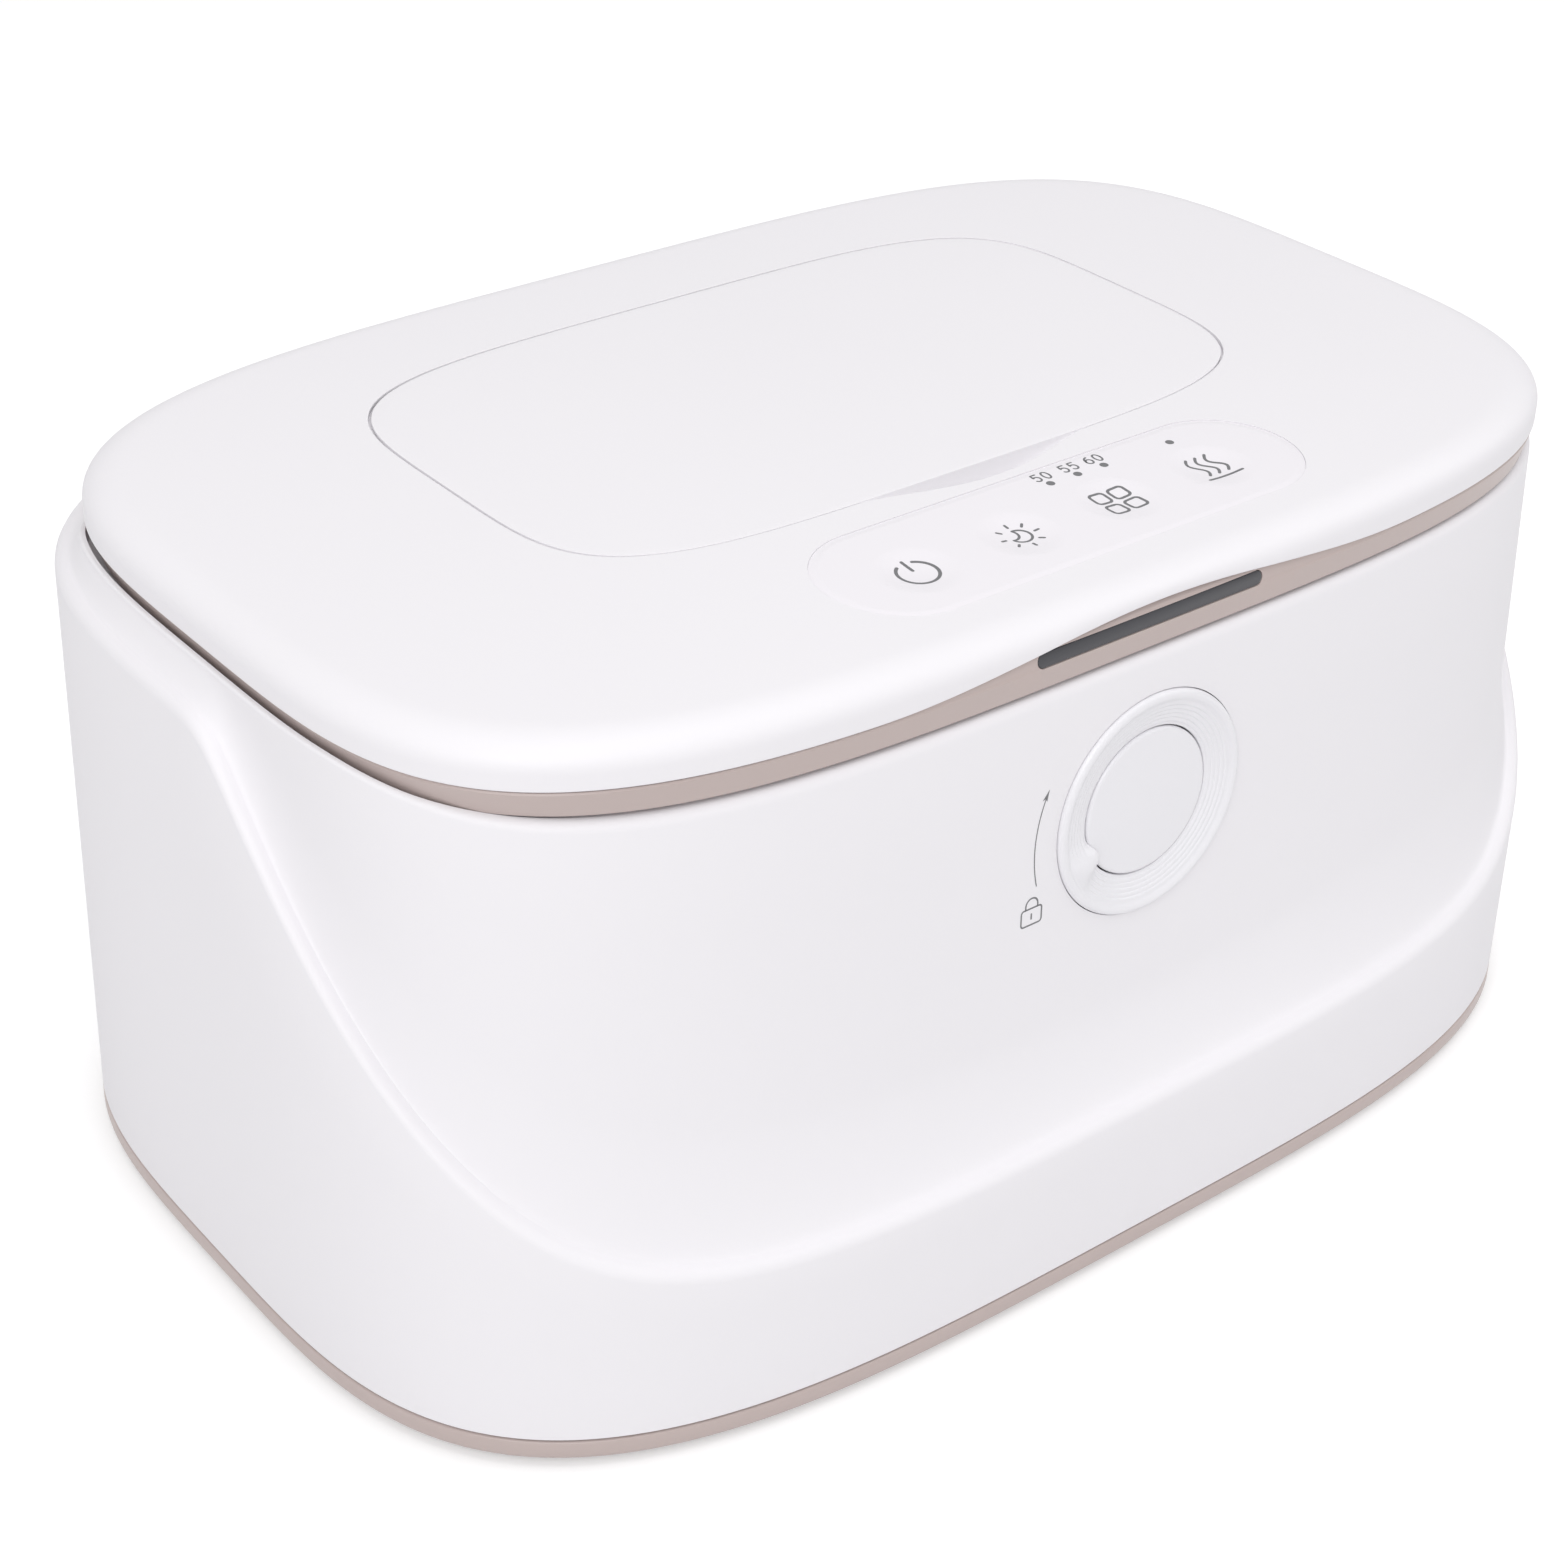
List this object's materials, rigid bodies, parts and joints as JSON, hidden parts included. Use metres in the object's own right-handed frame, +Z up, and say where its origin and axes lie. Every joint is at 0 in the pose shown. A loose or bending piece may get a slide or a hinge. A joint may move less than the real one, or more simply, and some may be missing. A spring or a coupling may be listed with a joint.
{
  "type": "baby wipe warmer",
  "caption": "Rounded two-tier warmer for baby wipes: heated tank, hinged lid with a flip-up dispenser door and touch panel, turning lock ring around an opening button.",
  "frame": {"origin": "on the table under the feet, in the middle of the footprint", "axes": "+X to the right as seen by the user in front, +Y from the front (lock ring) to the rear (power inlet), +Z up"},
  "size_m": [0.24, 0.1632, 0.1169],
  "materials": {
    "white_shell": "satin moulded white, fine spark-eroded grain",
    "rose_beige": "satin moulded rose beige",
    "dial_white": "satin moulded white, slightly greyer than the housing",
    "tank_white": "smooth moulded white",
    "liner_white": "smooth moulded white",
    "panel_film": "smooth printed film, dished at each touch area",
    "smoke_window": "smoked translucent plastic",
    "guide_clear": "clear light guide",
    "silicone": "translucent soft silicone",
    "foot_rubber": "matte dark rubber",
    "steel": "bright steel",
    "aluminium": "plain rolled aluminium",
    "heater_film": "amber heater film",
    "felt": "pressed fibre felt",
    "board_green": "green solder mask",
    "component_black": "moulded black",
    "contact_brass": "plated spring contact"
  },
  "bodies": {
    "warmer_base": {"outer_housing": "white_shell", "base_plate": "rose_beige", "rubber_feet": "foot_rubber", "base_screws": "steel", "wipes_tank": "tank_white", "heating_plate": "aluminium", "heating_film": "heater_film", "insulation_pad": "felt", "heater_clamp": "steel", "clamp_screws": "steel", "temperature_sensor": "component_black", "thermal_fuse": "steel", "control_board": "board_green", "board_components": "component_black", "board_screws": "steel", "dc_jack": "component_black", "dc_jack_pin": "steel", "ring_retainer": "liner_white", "retainer_screws": "steel", "latch_guide": "liner_white", "guide_screws": "steel", "button_spring": "steel", "lid_hinge_pins": "steel"},
    "ring": {"lock_ring": "dial_white"},
    "button": {"open_button": "dial_white", "latch_slider": "steel", "slider_screw": "steel"},
    "lid": {"lid_shell": "white_shell", "lid_frame": "rose_beige", "lid_liner": "liner_white", "liner_screws": "steel", "lid_seal": "silicone", "indicator_window": "smoke_window", "indicator_board": "board_green", "touch_board": "board_green", "touch_board_screws": "steel", "touch_pads": "contact_brass", "light_guides": "guide_clear", "control_panel": "panel_film", "latch_hook": "steel", "hook_screws": "steel", "dispenser_gasket": "silicone", "gasket_ring": "liner_white", "door_pins": "steel"},
    "door": {"door_panel": "white_shell", "door_seal": "silicone"}
  },
  "joints": [
    {"name": "lid_hinge", "type": "hinge", "parent": "warmer_base", "child": "lid", "pos_m": [0, 0.073, 0.106], "axis": [-1, 0, 0], "range_deg": [0, 95]},
    {"name": "door_hinge", "type": "hinge", "parent": "lid", "child": "door", "pos_m": [0, 0.0509, 0.11429], "axis": [-1, 0, 0], "range_deg": [0, 90]},
    {"name": "ring_turn", "type": "hinge", "parent": "warmer_base", "child": "ring", "pos_m": [0, -0.07226, 0.079], "axis": [0, 0.9993, -0.0384], "range_deg": [0, 55]},
    {"name": "button_press", "type": "slide", "parent": "warmer_base", "child": "button", "axis": [0, 0.9993, -0.0384], "range_m": [0, 0.0025], "stiffness_N_per_m": 400, "springref_m": -0.004, "deforming": ["button_spring"]}
  ]
}
